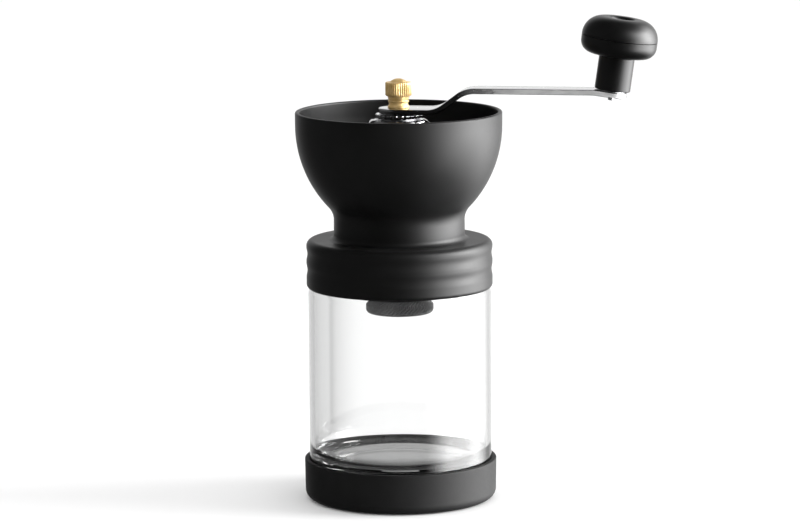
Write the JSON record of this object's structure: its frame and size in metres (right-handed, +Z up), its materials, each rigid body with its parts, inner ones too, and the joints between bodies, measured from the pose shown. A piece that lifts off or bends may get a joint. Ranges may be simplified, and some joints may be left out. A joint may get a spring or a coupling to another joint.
{
  "type": "hand crank coffee grinder",
  "caption": "Hand coffee grinder: black bowl-shaped hopper screwed over a clear glass jar in a rubber boot, with a flat chromed crank, a mushroom knob and a knurled brass nut.",
  "frame": {"origin": "centre of the boot's flat underside, on the shaft's axis", "axes": "+Z up along the shaft, +X from the shaft towards the crank's knob at rest, +Y to the left of the crank"},
  "size_m": [0.1655, 0.0946, 0.2239],
  "materials": {
    "boot_rubber": "moulded matt rubber, faintly grained",
    "jar_glass": "clear pressed glass",
    "gasket_rubber": "smooth silicone rubber",
    "housing_black": "fine satin moulding",
    "hopper_black": "fine satin moulding, smoother inside",
    "inner_black": "plain matt moulding",
    "screw_steel": "zinc plated",
    "burr_ceramic": "unglazed dark ceramic",
    "bush_bronze": "plain bearing bronze",
    "spring_steel": "drawn wire",
    "bridge_chrome": "bright plated pressing",
    "shaft_steel": "turned",
    "arm_chrome": "bright plated strip, edges softly polished",
    "knob_black": "fine satin moulding with a parting line",
    "nut_brass": "turned and knurled, lightly polished"
  },
  "bodies": {
    "jar": {"glass_jar": "jar_glass", "base_boot": "boot_rubber"},
    "seal": {"jar_gasket": "gasket_rubber"},
    "hopper": {"hopper_bowl": "hopper_black", "screw_collar": "housing_black", "burr_housing": "inner_black", "housing_screws": "screw_steel", "ring_burr": "burr_ceramic", "burr_retainer": "inner_black", "lower_bush": "bush_bronze", "spring_washer": "screw_steel", "burr_spring": "spring_steel", "bearing_bridge": "bridge_chrome", "bridge_screws": "screw_steel", "upper_bush": "bush_bronze"},
    "key": {"key_washer": "screw_steel"},
    "adjuster": {"adjusting_nut": "bridge_chrome"},
    "drive": {"drive_shaft": "shaft_steel", "inner_burr": "burr_ceramic", "burr_washer": "screw_steel", "burr_nut": "screw_steel", "crank_arm": "arm_chrome", "knob_washer": "screw_steel", "knob_screw": "screw_steel"},
    "knob": {"knob_grip": "knob_black", "knob_cap": "knob_black"},
    "cap_seat": {"cap_washer": "nut_brass"},
    "cap": {"cap_nut": "nut_brass"}
  },
  "joints": [
    {"name": "hopper_lift", "type": "slide", "parent": "jar", "child": "seal", "axis": [0, 0, 1], "range_m": [0, 0.006]},
    {"name": "hopper_twist", "type": "hinge", "parent": "seal", "child": "hopper", "pos_m": [0, 0, 0.112], "axis": [0, 0, 1], "range_deg": [0, 540]},
    {"name": "crank_turn", "type": "hinge", "parent": "hopper", "child": "key", "pos_m": [0, 0, 0.176], "axis": [0, 0, 1], "continuous": true},
    {"name": "adjuster_turn", "type": "hinge", "parent": "key", "child": "adjuster", "pos_m": [0, 0, 0.177], "axis": [0, 0, -1], "range_deg": [0, 2160]},
    {"name": "burr_travel", "type": "slide", "parent": "key", "child": "drive", "axis": [0, 0, 1], "range_m": [0, 0.006], "deforming": ["burr_spring"]},
    {"name": "knob_spin", "type": "hinge", "parent": "drive", "child": "knob", "pos_m": [0.0977, 0, 0.18948], "axis": [0.1392, 0, 0.9903], "continuous": true},
    {"name": "cap_nut_lift", "type": "slide", "parent": "drive", "child": "cap_seat", "axis": [0, 0, 1], "range_m": [0, 0.008]},
    {"name": "cap_nut_turn", "type": "hinge", "parent": "cap_seat", "child": "cap", "pos_m": [0, 0, 0.185], "axis": [0, 0, 1], "range_deg": [0, 2880]}
  ],
  "couplings": [
    {"joint": "hopper_lift", "follows": "hopper_twist", "m_per_rad": 0.00063662},
    {"joint": "adjuster_turn", "follows": "burr_travel", "rad_per_m": 6283.2},
    {"joint": "cap_nut_turn", "follows": "cap_nut_lift", "rad_per_m": 6283.2}
  ]
}
